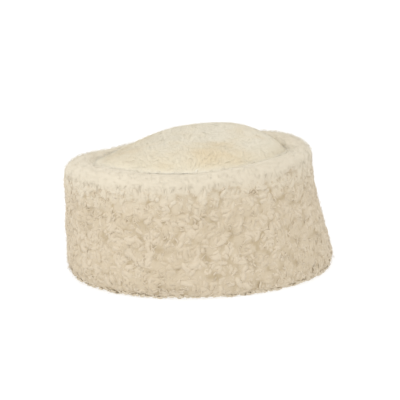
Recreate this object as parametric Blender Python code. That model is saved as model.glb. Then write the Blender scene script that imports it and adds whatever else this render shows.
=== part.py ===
# A cream shearling hat: a domed fleece crown with a thick turned-up fleece cuff round it.
# Metres, +Z up. The brow faces -Y and the nape faces +Y. The bottom edge lies on z = 0,
# and the origin is the middle of the hat's footprint.

import math

import bpy
import numpy as np

# Driving dimensions
HEAD_LENGTH = 0.203  # hollow at the bottom edge, brow to nape
HEAD_WIDTH = 0.166  # hollow at the bottom edge, side to side
BROW_LEAN = -0.002  # how far the wall leans in above the brow: it leans out a little
SIDE_LEAN = 0.011  # the same, at the two sides
NAPE_LEAN = 0.0265  # the same, at the nape, where the bottom edge flares out
CROWN_EDGE = 0.006  # crown wall at the bottom edge, its pile pressed flat by the cuff
CROWN_WALL = 0.011  # crown wall at the top, hide and pile
DOME_RISE = 0.017  # top of the crown above the cuff's mean height
CUFF_HEIGHT = 0.1035  # mean height of the cuff's rim
NAPE_RISE = 0.0035  # the rim is this much higher at the nape, and lower at the brow
SIDE_RISE = 0.0040  # the rim is this much higher on the +X side, and lower on the other
END_RISE = 0.0018  # the rim is this much higher at brow and nape, and lower at both sides
CUFF_EDGE = 0.014  # cuff's thickness at the bottom edge
CUFF_FOLD = 0.017  # cuff's thickness at the rolled rim
HEM_RADIUS = 0.008  # rounding of the cuff's lower outer corner
SEAT_GAP = 0.0004  # between the cuff and the crown where they are sewn together
GROOVE = 0.0035  # more room between them at the rim
PEAK_BACK = 0.024  # the crown's peak, behind the middle
PEAK_SIDE = 0.012  # the crown's peak, towards the +X side
CURL_RELIEF = 0.0040  # how far the wool's curly locks stand out of the cuff
PILE_RELIEF = 0.0010  # the same for the crown's short smooth pile

# Shares of the sizes above
LEAN_SHARE = 0.85  # of the cuff's height, where the wall stops leaning in
SHOULDER_SHARE = 0.84  # of the rim's height, where the crown's side turns into the dome
DOME_POWER = 2.7  # squareness of the dome, 2 for an ellipse
LOW_LOCK_SHARE = 0.55  # of the relief, at the lowest locks
HEM_CURL_SHARE = 0.4  # of the relief, on the rounded corner of the hem
RIM_CURL_SHARE = 0.3  # of the relief, on the rolled rim, where the wool is combed smooth
LOCK_SHAKE = 0.28  # of a lock's width, how far its middle is off its regular place

# Counts, and the seed of the wool's uneven locks
LOCKS_AROUND = 44
LOCK_TIERS = 9
CUFF_COLUMNS = 136
CUFF_ROWS = 16
FOLD_ROWS = 6
CUFF_LINING_ROWS = 4
CROWN_COLUMNS = 64
DOME_ROWS = 9
SIDE_ROWS = 5
HOLLOW_DOME_ROWS = 5
HOLLOW_SIDE_ROWS = 3
WOOL_SEED = 7

# Dents in the crown: where, as shares of half the head's width and length, how deep as a
# share of the dome's rise, and how wide as a share of half the head's width. A depth below
# zero is a swelling.
CROWN_DENTS = [
    {"across": 0.42, "along": 0.06, "depth": 0.40, "spread": 0.34},
    {"across": -0.34, "along": -0.52, "depth": 0.16, "spread": 0.45},
    {"across": -0.30, "along": 0.40, "depth": -0.12, "spread": 0.40},
]

# Slow waves in the cuff's wall: cycles round the hat, phase in degrees, and height as a
# share of the cuff's edge thickness.
CUFF_WAVES = [
    {"cycles": 2, "phase": 40, "height": 0.05},
    {"cycles": 3, "phase": 160, "height": 0.07},
    {"cycles": 5, "phase": 250, "height": 0.05},
]


def angles(count):
    """Angles round the hat, from +X towards the nape."""
    return np.arange(count) * (2 * math.pi / count)


def smooth_step(share):
    share = np.clip(share, 0.0, 1.0)
    return share * share * (3 - 2 * share)


def outward(turn):
    """Unit normal of the head oval, pointing out, at each angle."""
    across = np.cos(turn) / (HEAD_WIDTH / 2)
    along = np.sin(turn) / (HEAD_LENGTH / 2)
    size = np.hypot(across, along)
    return across / size, along / size


def lean(turn, height):
    """How far the wall has leaned in at this height."""
    at_ends = np.where(np.sin(turn) > 0, NAPE_LEAN, BROW_LEAN)
    total = SIDE_LEAN * np.cos(turn) ** 2 + at_ends * np.sin(turn) ** 2
    return total * np.clip(height / (CUFF_HEIGHT * LEAN_SHARE), 0.0, 1.0)


def ring(turn, out, height):
    """Points at a distance out from the head oval, leaned in, at each height."""
    nx, ny = outward(turn)
    out = out - lean(turn, height)
    x = HEAD_WIDTH / 2 * np.cos(turn) + nx * out
    y = HEAD_LENGTH / 2 * np.sin(turn) + ny * out
    return np.stack([x, y, np.broadcast_to(height, x.shape)], axis=-1)


def rim_height(turn):
    tilt = NAPE_RISE * np.sin(turn) + SIDE_RISE * np.cos(turn)
    return CUFF_HEIGHT + tilt - END_RISE * np.cos(2 * turn)


def cuff_waves(turn):
    total = np.zeros_like(turn)
    for wave in CUFF_WAVES:
        phase = math.radians(wave["phase"])
        total += wave["height"] * np.sin(wave["cycles"] * turn + phase)
    return total * CUFF_EDGE


def cuff_outside(turn, height):
    """The cuff's outer face, as a distance out from the head oval."""
    base = CROWN_EDGE + SEAT_GAP + CUFF_EDGE
    return base + cuff_waves(turn) * smooth_step(height / CUFF_HEIGHT)


def cuff_thickness(turn, height):
    share = height / (rim_height(turn) - CUFF_FOLD / 2)
    waves = cuff_waves(turn) * smooth_step(height / CUFF_HEIGHT)
    return CUFF_EDGE + (CUFF_FOLD - CUFF_EDGE) * smooth_step(share) + waves


def curl_relief(rows, columns):
    """Rounded locks on staggered, shaken centres. Each point belongs to the nearest centre, so the
    wool sinks into a crevice where two locks meet."""
    random = np.random.default_rng(WOOL_SEED)
    tier, lock = np.meshgrid(np.arange(LOCK_TIERS), np.arange(LOCKS_AROUND), indexing="ij")
    shake_up, shake_along = random.uniform(-LOCK_SHAKE, LOCK_SHAKE, (2, *tier.shape))
    crest = random.uniform(LOW_LOCK_SHARE, 1.0, tier.shape).ravel()
    lock_rows, lock_columns = rows / LOCK_TIERS, columns / LOCKS_AROUND
    row, column = np.meshgrid(np.arange(rows), np.arange(columns), indexing="ij")
    up = row[..., None] / lock_rows - (tier + 0.5 + shake_up).ravel()
    along = column[..., None] / lock_columns - (lock + tier % 2 / 2 + shake_along).ravel()
    along = np.mod(along + LOCKS_AROUND / 2, LOCKS_AROUND) - LOCKS_AROUND / 2
    distance = np.hypot(up, along)
    rounding = 1 - np.minimum(distance.min(axis=-1), 1.0) ** 2
    return CURL_RELIEF * crest[distance.argmin(axis=-1)] * rounding


def cuff_grid():
    """Closed sections of the cuff: hem, outer face, rolled rim and inner face, for each angle."""
    turn = angles(CUFF_COLUMNS)
    nx, ny = outward(turn)
    roll = CUFF_FOLD / 2
    rows, outs, ups, reliefs = [], [], [], []

    def add(out, height, facing_out, facing_up, relief):
        rows.append(ring(turn, out, height))
        outs.append(facing_out)
        ups.append(facing_up)
        reliefs.append(relief)

    # The flat of the hem, and its rounded corner
    face = cuff_outside(turn, 0 * turn)
    add(face - CUFF_EDGE, 0 * turn, 0.0, 0.0, 0.0)
    add(face - HEM_RADIUS, 0 * turn, 0.0, 0.0, 0.0)
    middle = math.pi / 4  # halfway round the corner
    corner_out = face - HEM_RADIUS * (1 - math.sin(middle))
    corner_up = 0 * turn + HEM_RADIUS * (1 - math.cos(middle))
    add(corner_out, corner_up, 1.0, 0.0, HEM_CURL_SHARE)
    # The curly outer face
    top = rim_height(turn) - roll
    for row in range(CUFF_ROWS):
        share = row / (CUFF_ROWS - 1)
        height = HEM_RADIUS + (top - HEM_RADIUS) * share
        add(cuff_outside(turn, height), height, 1.0, 0.0, 1.0)
    # The rolled rim, where the pile is smoother
    rolled = cuff_outside(turn, top)
    for step in range(1, FOLD_ROWS):
        bend = math.pi * step / FOLD_ROWS
        out = rolled - roll * (1 - math.cos(bend))
        add(out, top + roll * math.sin(bend), math.cos(bend), math.sin(bend), RIM_CURL_SHARE)
    # The face towards the crown
    for row in range(CUFF_LINING_ROWS):
        height = top * (1 - row / CUFF_LINING_ROWS)
        out = cuff_outside(turn, height) - cuff_thickness(turn, height)
        add(out, height, 0.0, 0.0, 0.0)
    points = np.array(rows)
    relief = curl_relief(len(rows), CUFF_COLUMNS) * np.array(reliefs)[:, None]
    points[..., 0] += relief * np.array(outs)[:, None] * nx
    points[..., 1] += relief * np.array(outs)[:, None] * ny
    points[..., 2] += relief * np.array(ups)[:, None]
    return points


def crown_outside(turn, height):
    """The crown's outer face below the dome: it follows the cuff's inner face, with the groove between."""
    groove = GROOVE * smooth_step(height / (CUFF_HEIGHT * SHOULDER_SHARE))
    inner = cuff_outside(turn, height) - cuff_thickness(turn, height)
    return inner - SEAT_GAP - groove


def crown_wall(height):
    share = smooth_step(height / (CUFF_HEIGHT * SHOULDER_SHARE))
    return CROWN_EDGE + (CROWN_WALL - CROWN_EDGE) * share


def shoulder_height(turn):
    return rim_height(turn) * SHOULDER_SHARE


def dented(points):
    """Pushes the dome in at each dent, deepest in its middle."""
    lowered = points.copy()
    for dent in CROWN_DENTS:
        x = dent["across"] * HEAD_WIDTH / 2
        y = dent["along"] * HEAD_LENGTH / 2
        spread = dent["spread"] * HEAD_WIDTH / 2
        distance = np.hypot(points[..., 0] - x, points[..., 1] - y) / spread
        lowered[..., 2] -= dent["depth"] * DOME_RISE * np.exp(-(distance**2))
    return lowered


def dome(turn, wall, share):
    """One ring of the dome: share is 1 at the shoulder and 0 at the peak."""
    foot_height = shoulder_height(turn)
    foot = ring(turn, crown_outside(turn, foot_height) - wall, foot_height)
    peak = np.array([PEAK_SIDE, PEAK_BACK, 0.0])
    spot = peak * (1 - share) + foot * share
    top = CUFF_HEIGHT + DOME_RISE - wall
    tilt = (NAPE_RISE * PEAK_BACK / HEAD_LENGTH + SIDE_RISE * PEAK_SIDE / HEAD_WIDTH) * 2
    rise = (top + tilt - foot_height) * (1 - share**DOME_POWER) ** (1 / DOME_POWER)
    spot[:, 2] = foot_height + rise
    return dented(spot)


def pile_relief(rows, columns):
    """Small unevenness of the short pile, which fades out at the peak."""
    random = np.random.default_rng(WOOL_SEED).random((rows, columns))
    return PILE_RELIEF * random * np.linspace(0.0, 1.0, rows)[:, None]


def crown_grid():
    """Sections from the peak down the outside, round the bottom edge and up the hollow to its peak."""
    turn = angles(CROWN_COLUMNS)
    outside = []
    for step in range(1, DOME_ROWS + 1):
        outside.append(dome(turn, 0.0, math.sin(math.pi / 2 * step / DOME_ROWS)))
    for step in range(1, SIDE_ROWS + 1):
        height = shoulder_height(turn) * (1 - step / SIDE_ROWS)
        outside.append(ring(turn, crown_outside(turn, height), height))
    outside = np.array(outside)
    outside[:DOME_ROWS, :, 2] += pile_relief(DOME_ROWS, CROWN_COLUMNS)
    hollow = []
    for step in range(HOLLOW_SIDE_ROWS):
        height = shoulder_height(turn) * step / HOLLOW_SIDE_ROWS
        out = crown_outside(turn, height) - crown_wall(height)
        hollow.append(ring(turn, out, height))
    for step in range(HOLLOW_DOME_ROWS, 0, -1):
        share = math.sin(math.pi / 2 * step / HOLLOW_DOME_ROWS)
        hollow.append(dome(turn, CROWN_WALL, share))
    return np.concatenate([outside, np.array(hollow)])


def skinned(points, closed_loop):
    """Quads between neighbouring rows, going round each row. A loop also joins the last row to the first."""
    rows, columns = points.shape[:2]
    faces = []
    for row in range(rows if closed_loop else rows - 1):
        above = (row + 1) % rows
        for column in range(columns):
            beside = (column + 1) % columns
            here, right = row * columns + column, row * columns + beside
            over, across = above * columns + column, above * columns + beside
            faces.append((here, right, across, over))
    return faces


def shearling(name, colour, roughness):
    material = bpy.data.materials.new(name)
    material.use_nodes = True
    shader = material.node_tree.nodes["Principled BSDF"]
    shader.inputs["Base Color"].default_value = (*colour, 1.0)
    shader.inputs["Roughness"].default_value = roughness
    shader.inputs["Metallic"].default_value = 0.0
    return material


def add_object(name, vertices, faces, material):
    mesh = bpy.data.meshes.new(name)
    mesh.from_pydata([tuple(map(float, v)) for v in vertices], [], faces)
    mesh.validate()
    mesh.materials.append(material)
    mesh.shade_smooth()
    made = bpy.data.objects.new(name, mesh)
    bpy.context.scene.collection.objects.link(made)
    return made


def make_cuff(points, middle, material):
    vertices = points.reshape(-1, 3) - middle
    return add_object("cuff", vertices, skinned(points, True), material)


def make_crown(points, middle, material):
    columns = points.shape[1]
    peaks = np.array([points[0].mean(axis=0), points[-1].mean(axis=0)])
    vertices = np.concatenate([points.reshape(-1, 3), peaks]) - middle
    faces = [face[::-1] for face in skinned(points, False)]
    top, under = len(vertices) - 2, len(vertices) - 1
    last = (points.shape[0] - 1) * columns
    for column in range(columns):
        beside = (column + 1) % columns
        faces.append((top, column, beside))
        faces.append((under, last + beside, last + column))
    return add_object("crown", vertices, faces, material)


def main():
    for old in list(bpy.data.objects):
        bpy.data.objects.remove(old, do_unlink=True)
    cuff_points, crown_points = cuff_grid(), crown_grid()
    flat = cuff_points.reshape(-1, 3)
    middle = (flat.min(axis=0) + flat.max(axis=0)) / 2
    middle[2] = 0.0
    make_cuff(cuff_points, middle, shearling("curly_fleece", (0.78, 0.67, 0.49), 0.95))
    make_crown(crown_points, middle, shearling("smooth_fleece", (0.83, 0.74, 0.57), 0.95))


main()
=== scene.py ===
import math

import bpy
import numpy as np
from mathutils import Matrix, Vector


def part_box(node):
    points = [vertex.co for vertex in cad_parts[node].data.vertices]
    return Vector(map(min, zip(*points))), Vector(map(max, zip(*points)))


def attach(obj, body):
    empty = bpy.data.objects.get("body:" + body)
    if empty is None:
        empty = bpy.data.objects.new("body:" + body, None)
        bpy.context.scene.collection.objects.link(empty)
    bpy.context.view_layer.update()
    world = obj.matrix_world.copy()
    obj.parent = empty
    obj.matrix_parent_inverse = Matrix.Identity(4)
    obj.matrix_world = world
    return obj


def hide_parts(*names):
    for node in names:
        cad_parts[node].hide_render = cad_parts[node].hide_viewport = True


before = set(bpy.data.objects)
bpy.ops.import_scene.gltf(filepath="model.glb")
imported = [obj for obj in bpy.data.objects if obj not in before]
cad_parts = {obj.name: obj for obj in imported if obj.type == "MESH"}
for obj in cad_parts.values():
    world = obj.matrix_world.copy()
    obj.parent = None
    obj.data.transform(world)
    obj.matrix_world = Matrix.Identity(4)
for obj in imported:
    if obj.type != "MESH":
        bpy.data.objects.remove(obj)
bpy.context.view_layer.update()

# Sizes of the hat in metres, the same as those of the frame's solids
hat = {
    "headLength": 0.203, "headWidth": 0.166,
    "browLean": -0.002, "sideLean": 0.011, "napeLean": 0.0265, "leanShare": 0.85,
    "crownEdge": 0.006, "crownWall": 0.011, "domeRise": 0.017, "domePower": 2.7,
    "shoulderShare": 0.84, "peakBack": 0.024, "peakSide": 0.012,
    "cuffHeight": 0.1035, "napeRise": 0.0035, "sideRise": 0.0040, "endRise": 0.0018,
    "cuffEdge": 0.014, "cuffFold": 0.017, "hemRadius": 0.008, "seatGap": 0.0004, "groove": 0.0035,
}
cuffWaves = [(2, 40, 0.05), (3, 160, 0.07), (5, 250, 0.05)]  # cycles, phase, share of the cuff's edge

# Where the wool departs from the solids, in metres and shares
woolRim = {
    "rise": 0.0015,  # how far the pile stands above the rim
    "brow": 0.0135, "nape": 0.0130, "flat": 0.5,  # the roll's extra width, and its share in the height
    "liningBlend": 0.025,  # the length in which the roll's inner edge goes back to the solid's face
    "close": 0.0034, "flankEnd": 0.9,  # how far the crown's pile fills the groove and lies on the roll
    "leastPile": 0.0040, "ease": 0.002,  # the least pile over the hollow, and how softly that sets in
    "shoulderShare": 1.0, "napeShare": 0.965, "pilePower": 3.4,  # the pile's shoulder and dome
}
woolFace = {
    "cells": (34, 5), "seed": 21, "proud": 0.0004, "least": 0.0002, "bulge": 0.0018,
    "aboveHem": 0.014, "belowRim": 0.020, "tuck": 0.0024, "tuckTop": 0.095, "tuckFade": 0.025,
}  # the bulges of the cuff's wool, the lengths in which they fade, and how far the nape is drawn in
grooveLightAtNape = {"napeLoss": 0.7, "napeStart": 0.3, "napeSpan": 0.5}  # how much less painted light the groove gets at the nape, where its shade stays: a step along the turn's sine
# Rows of rimBumps: middle and spread in degrees, and height. Rows of the dents: place across and back,
# depth and spread, as shares of half the head's width and length, of the dome's rise and of half the
# head's width. A depth below zero is a swell, and pileDents are in the pile alone.
rimBumps = [(12, 28, 0.0034), (288, 16, 0.0012), (208, 26, -0.0032)]
crownDents = [(0.42, 0.06, 0.40, 0.34), (-0.34, -0.52, 0.16, 0.45), (-0.30, 0.40, -0.12, 0.40)]
pileDents = [(-0.45, -0.62, 0.27, 0.40), (-0.38, -0.14, -0.10, 0.40), (0.42, 0.06, -0.22, 0.34)]
dentShadePatch = (0.56, -0.12)  # the middle of the painted shade round the crown's dent, as shares of half the head's width and length
domeEnd = 0.995  # the share of the dome's reach at which the ends of its strands are held

low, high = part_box("crown")
centre = np.array([
    (low.x + high.x) / 2,
    high.y - hat["headLength"] / 2 - hat["crownEdge"],
    0.0,
])  # the head oval's middle in the frame, read from the crown's bottom edge
peak = centre + np.array([hat["peakSide"], hat["peakBack"], 0.0])
fullTurn = 2 * math.pi


# Smooth random fields


def smoothStep(share):  # 3s^2 - 2s^3, held between 0 and 1
    share = np.clip(share, 0.0, 1.0)
    return share * share * (3 - 2 * share)


def rising(value, start, span):  # a smooth step from 0 at start to 1 a span further on
    return smoothStep((value - start) / span)


def softNoise(u, v, across, up, seed):
    # Random lattice values from 0 to 1, blended by smooth steps: u and v run from 0 to 1, and u wraps
    lattice = np.random.default_rng(seed).random((across, up + 2))
    x, y = np.mod(u, 1.0) * across, np.clip(v, 0.0, 1.0) * up
    i, j = np.floor(x).astype(int) % across, np.floor(y).astype(int)
    fx, fy = smoothStep(x - np.floor(x)), smoothStep(y - j)
    k = (i + 1) % across
    below = lattice[i, j] * (1 - fx) + lattice[k, j] * fx
    above = lattice[i, j + 1] * (1 - fx) + lattice[k, j + 1] * fx
    return below * (1 - fy) + above * fy


# The hat's surfaces, as functions of two parameters


def ovalPoint(turn, out, height):
    # Head oval (a cos t, b sin t) pushed out along its own normal, less how far the wall leans in
    a, b = hat["headWidth"] / 2, hat["headLength"] / 2
    nx, ny = np.cos(turn) / a, np.sin(turn) / b
    size = np.hypot(nx, ny)
    ends = np.where(np.sin(turn) > 0, hat["napeLean"], hat["browLean"])
    lean = hat["sideLean"] * np.cos(turn) ** 2 + ends * np.sin(turn) ** 2
    out = out - lean * np.clip(height / (hat["cuffHeight"] * hat["leanShare"]), 0.0, 1.0)
    x = a * np.cos(turn) + nx / size * out + centre[0]
    y = b * np.sin(turn) + ny / size * out + centre[1]
    return np.stack(np.broadcast_arrays(x, y, height), axis=-1)


def rimHeight(turn):  # a tilted ring, higher at its two ends
    tilt = hat["napeRise"] * np.sin(turn) + hat["sideRise"] * np.cos(turn)
    return hat["cuffHeight"] + tilt - hat["endRise"] * np.cos(2 * turn)


def endWidth(turn):  # the roll of wool is wider at brow and nape, w sin(t)^2
    return np.where(np.sin(turn) > 0, woolRim["nape"], woolRim["brow"]) * np.sin(turn) ** 2


def rollWidth(turn):  # half of it
    return (hat["cuffFold"] + endWidth(turn)) / 2


def rollDepth(turn):  # half of it: the wide ends are flatter on top
    return (hat["cuffFold"] + woolRim["flat"] * endWidth(turn)) / 2


def woolTop(turn):  # the rim with its pile, h exp(-(d / s)^2) higher where it is fuller
    height = rimHeight(turn) + woolRim["rise"]
    for middle, spread, size in rimBumps:
        away = np.mod(turn - math.radians(middle) + math.pi, fullTurn) - math.pi
        height = height + size * np.exp(-((away / math.radians(spread)) ** 2))
    return height


def wallWave(turn, height):  # slow waves round the wall, which fade out at the hem
    wave = sum(size * np.sin(n * turn + math.radians(phase)) for n, phase, size in cuffWaves)
    return wave * hat["cuffEdge"] * smoothStep(height / hat["cuffHeight"])


def cuffFace(turn, height):
    return hat["crownEdge"] + hat["seatGap"] + hat["cuffEdge"] + wallWave(turn, height)


def cuffThickness(turn, height):
    share = height / (rimHeight(turn) - hat["cuffFold"] / 2)
    grown = hat["cuffEdge"] + (hat["cuffFold"] - hat["cuffEdge"]) * smoothStep(share)
    return grown + wallWave(turn, height)


def grooveGap(height):  # the room between cuff and crown, which the scene's wool fills again
    return hat["groove"] * smoothStep(height / (hat["cuffHeight"] * hat["shoulderShare"]))


def woolSwell(turn, height):
    # How far the felted wool stands out of the cuff's plain face: soft bulges, least at hem and rim,
    # and drawn in a little down the nape
    bulge = softNoise(turn / fullTurn, height / hat["cuffHeight"], *woolFace["cells"], woolFace["seed"])
    share = smoothStep(height / woolFace["aboveHem"])
    share = share * smoothStep((hat["cuffHeight"] - height) / woolFace["belowRim"])
    tuck = woolFace["tuck"] * np.clip(np.sin(turn), 0.0, 1.0) ** 2
    tuck = tuck * smoothStep((woolFace["tuckTop"] - height) / woolFace["tuckFade"])
    return woolFace["proud"] + share * (woolFace["least"] + woolFace["bulge"] * bulge) - tuck


def cuffLengths(turn):
    # Distances along the cuff's section where its face starts, its roll starts and its roll ends
    width, depth = rollWidth(turn), rollDepth(turn)
    faceStart = hat["hemRadius"] * math.pi / 2
    rollStart = faceStart + woolTop(turn) - depth - hat["hemRadius"]
    return faceStart, rollStart, rollStart + math.pi * (width + depth) / 2


def cuffChart(turn, along):
    # The cuff's skin by angle and by distance along its section: a quarter circle up from the hem,
    # the straight face, half an ellipse over the rim and the straight inner face down again
    width, depth, radius = rollWidth(turn), rollDepth(turn), hat["hemRadius"]
    faceStart, rollStart, rollEnd = cuffLengths(turn)
    top = woolTop(turn) - depth
    corner = np.clip(along / radius, 0.0, math.pi / 2)
    bend = np.clip((along - rollStart) / (rollEnd - rollStart), 0.0, 1.0) * math.pi
    height = radius * (1 - np.cos(corner)) + np.clip(along - faceStart, 0.0, rollStart - faceStart)
    height = height + depth * np.sin(bend) - np.clip(along - rollEnd, 0.0, top)
    wallHeight = np.minimum(height, top)
    face = cuffFace(turn, wallHeight) + woolSwell(turn, wallHeight)
    out = face - radius * (1 - np.sin(corner)) + np.minimum(along, 0.0) - width * (1 - np.cos(bend))
    inner = cuffFace(turn, wallHeight) - cuffThickness(turn, wallHeight) - grooveGap(wallHeight)
    rolled = cuffFace(turn, top) + woolSwell(turn, top) - 2 * width
    inner = rolled + (inner - rolled) * smoothStep((along - rollEnd) / woolRim["liningBlend"])
    out = np.where(along > rollEnd, inner, out)
    return ovalPoint(turn, out, height)


def crownFace(turn, height):  # the crown's side follows the cuff's inner face, less the groove
    inner = cuffFace(turn, height) - cuffThickness(turn, height)
    return inner - hat["seatGap"] - grooveGap(height)


def crownInset(turn, height, depth):
    # depth 0 is the pile's face, which fills the groove, gives way to the wider roll and lies against
    # its round flank, and 1 the hollow's. The smooth minimum (a + b - ((a - b)^2 + e^2)^(1/2)) / 2
    # holds the pile's inset a under b, which leaves the least pile.
    share = smoothStep(height / (hat["cuffHeight"] * hat["shoulderShare"]))
    wall = hat["crownEdge"] + (hat["crownWall"] - hat["crownEdge"]) * share
    above = np.clip((height - woolTop(turn)) / rollDepth(turn) + 1, 0.0, woolRim["flankEnd"])
    flank = rollWidth(turn) * (1 - np.sqrt(1 - above**2))
    drawn = (endWidth(turn) - woolRim["close"]) * share - flank
    most = wall - woolRim["leastPile"]
    drawn = (drawn + most - np.sqrt((drawn - most) ** 2 + woolRim["ease"] ** 2)) / 2
    return depth * wall + (1 - depth) * drawn


def crownFoot(turn, depth):
    # The shoulder's point, at a share of the rim's height, which for the pile falls by d sin(t)^2
    # towards the nape
    lower = (woolRim["shoulderShare"] - woolRim["napeShare"]) * np.clip(np.sin(turn), 0.0, 1.0) ** 2
    share = depth * hat["shoulderShare"] + (1 - depth) * (woolRim["shoulderShare"] - lower)
    height = rimHeight(turn) * share
    return ovalPoint(turn, crownFace(turn, height) - crownInset(turn, height, depth), height)


def grooveLight(turn, inward, start=0.0, span=1.0):
    # How much painted light fills the groove against its shade, from 0 outside it to 1 at its bottom, and
    # less at the nape
    nape = rising(np.sin(turn), grooveLightAtNape["napeStart"], grooveLightAtNape["napeSpan"])
    return rising(inward, start, span) * (1 - grooveLightAtNape["napeLoss"] * nape)


def domeAt(spot, foot, share, depth):
    # Height above the shoulder: rise (1 - s^p)^(1/p) in the hollow and rise (1 - s^q) for the pile,
    # less d exp(-(r / spread)^2) for each dent
    tilt = hat["napeRise"] * hat["peakBack"] / hat["headLength"]
    tilt += hat["sideRise"] * hat["peakSide"] / hat["headWidth"]
    rise = hat["cuffHeight"] + hat["domeRise"] + 2 * tilt - depth * hat["crownWall"] - foot[..., 2]
    share = np.clip(share, 0.0, 1.0)
    shell = (1 - share ** hat["domePower"]) ** (1 / hat["domePower"])
    height = foot[..., 2] + rise * (depth * shell + (1 - depth) * (1 - share ** woolRim["pilePower"]))
    dents = [(dent, 1.0) for dent in crownDents] + [(dent, 1 - depth) for dent in pileDents]
    for (across, back, deep, spread), kept in dents:
        x = spot[..., 0] - centre[0] - across * hat["headWidth"] / 2
        y = spot[..., 1] - centre[1] - back * hat["headLength"] / 2
        far = np.hypot(x, y) / (spread * hat["headWidth"] / 2)
        height = height - deep * kept * hat["domeRise"] * np.exp(-(far**2))
    return np.stack([spot[..., 0], spot[..., 1], height], axis=-1)


def crownChart(turn, along, depth=0.0):
    # The crown's skin by angle and by along: 0 at the peak, 1 at the shoulder, 2 at the bottom edge
    foot = crownFoot(turn, depth)
    share = np.sin(np.clip(along, 0.0, 1.0) * math.pi / 2)
    spot = peak + (foot - peak) * share[..., None]
    top = domeAt(spot, foot, share, depth)
    height = foot[..., 2] * np.clip(2 - along, 0.0, 1.0)
    side = ovalPoint(turn, crownFace(turn, height) - crownInset(turn, height, depth), height)
    return np.where((along <= 1)[..., None], top, side)


# The shoulder's direction from the peak at every half degree of turn
shoulderTurns = np.linspace(0.0, fullTurn, 721)
shoulderSpots = crownFoot(shoulderTurns, 0.0) - peak
shoulderAngles = np.unwrap(np.arctan2(shoulderSpots[:, 1], shoulderSpots[:, 0]))


def shoulderTurn(x, y):  # the turn at which the shoulder lies in a direction from the peak
    angle = np.mod(np.arctan2(y, x) - shoulderAngles[0], fullTurn) + shoulderAngles[0]
    return np.interp(angle, shoulderAngles, shoulderTurns)


def domeChart(x, y):
    # The dome as a height over x and y, measured from the peak
    turn = shoulderTurn(x, y)
    foot = crownFoot(turn, 0.0)
    reach = np.hypot(foot[..., 0] - peak[0], foot[..., 1] - peak[1])
    share = np.minimum(np.hypot(x, y) / reach, domeEnd)
    spot = np.stack([x + peak[0], y + peak[1], 0 * x], axis=-1)
    return domeAt(spot, foot, share, 0.0)


# Where the painted shade round the crown's dent is strongest, on the dome
dentShadeSpot = tuple(domeChart(
    np.array(centre[0] + dentShadePatch[0] * hat["headWidth"] / 2 - peak[0]),
    np.array(centre[1] + dentShadePatch[1] * hat["headLength"] / 2 - peak[1]),
))
print("fleece shapes are ready")


# Meshes from whole arrays


def unit(vectors):
    return vectors / np.maximum(np.linalg.norm(vectors, axis=-1, keepdims=True), 1e-9)


def addPiece(name, points, faces, corners, values, material):
    # faces is a list of index arrays, corners has a map spot for each face corner, and values has
    # a number for each point
    mesh = bpy.data.meshes.new(name)
    points = np.asarray(points, np.float32).reshape(-1, 3)
    loops = np.concatenate([part.ravel() for part in faces]).astype(np.int32)
    sizes = np.concatenate([np.full(len(part), part.shape[1]) for part in faces])
    starts = np.concatenate([[0], np.cumsum(sizes)[:-1]]).astype(np.int32)
    mesh.vertices.add(len(points))
    mesh.vertices.foreach_set("co", points.ravel())
    mesh.loops.add(len(loops))
    mesh.loops.foreach_set("vertex_index", loops)
    mesh.polygons.add(len(sizes))
    mesh.polygons.foreach_set("loop_start", starts)
    mesh.update(calc_edges=True)
    layer = mesh.uv_layers.new(name="OFBake")
    layer.data.foreach_set("uv", np.asarray(corners, np.float32).ravel())
    for key, numbers in values.items():
        layer = mesh.attributes.new(key, "FLOAT", "POINT")
        layer.data.foreach_set("value", np.asarray(numbers, np.float32).ravel())
    mesh.materials.append(material)
    mesh.shade_smooth()
    piece = bpy.data.objects.new(name, mesh)
    bpy.context.scene.collection.objects.link(piece)
    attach(piece, "root")
    print(name, len(points), "points", int(np.sum(sizes - 2)), "triangles")
    return piece


def shellPiece(name, points, values, loop, strips, material):
    # Rows of points, each a ring round the hat. Neighbouring rows are joined by quads, and the first
    # and last rows to each other, or else each to a point in its own middle. The map cuts the band
    # into strips that lie above each other, so that its cells stay near square.
    rows, columns = points.shape[:2]
    row, column = np.meshgrid(np.arange(rows if loop else rows - 1), np.arange(columns), indexing="ij")
    above, beside = (row + 1) % rows, (column + 1) % columns
    start, end = row * columns, above * columns
    quads = [start + column, start + beside, end + beside, end + column]
    faces = [np.stack(quads, axis=-1).reshape(-1, 4)]
    bands = rows if loop else rows + 1
    gap, long = 0.01, columns / strips

    def spots(column, row, across, up):
        strip = np.floor(column / long)
        u = gap + (1 - 2 * gap) * (column + across - strip * long) / long
        v = strip + gap + (1 - 2 * gap) * (row + up) / bands
        return np.stack(np.broadcast_arrays(u, v / strips), axis=-1)

    placed = row if loop else row + 1
    quad = [spots(column, placed, 0, 0), spots(column, placed, 1, 0)]
    quad += [spots(column, placed, 1, 1), spots(column, placed, 0, 1)]
    corners = [np.stack(quad, axis=2).reshape(-1, 2)]
    flat = points.reshape(-1, 3)
    if not loop:
        around = np.arange(columns)
        after = (around + 1) % columns
        last = (rows - 1) * columns
        count = rows * columns
        flat = np.concatenate([flat, [points[0].mean(axis=0)], [points[-1].mean(axis=0)]])
        faces = [faces[0][:, ::-1]]
        corners = [corners[0].reshape(-1, 4, 2)[:, ::-1].reshape(-1, 2)]
        faces.append(np.stack([0 * around + count, around, after], axis=-1))
        faces.append(np.stack([0 * around + count + 1, last + after, last + around], axis=-1))
        fan = [spots(around, 0, 0.5, 0), spots(around, 0, 0, 1), spots(around, 0, 1, 1)]
        corners.append(np.stack(fan, axis=1).reshape(-1, 2))
        fan = [spots(around, rows, 0.5, 1), spots(around, rows, 1, 0), spots(around, rows, 0, 0)]
        corners.append(np.stack(fan, axis=1).reshape(-1, 2))
        values = {key: np.append(v.ravel(), [v[0].mean(), v[-1].mean()]) for key, v in values.items()}
    return addPiece(name, flat, faces, np.concatenate(corners), values, material)


# Wool strands

strandMap = {"margin": 0.08, "sliver": 0.02}  # room round a strand in its cell, and its end's height there


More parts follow.
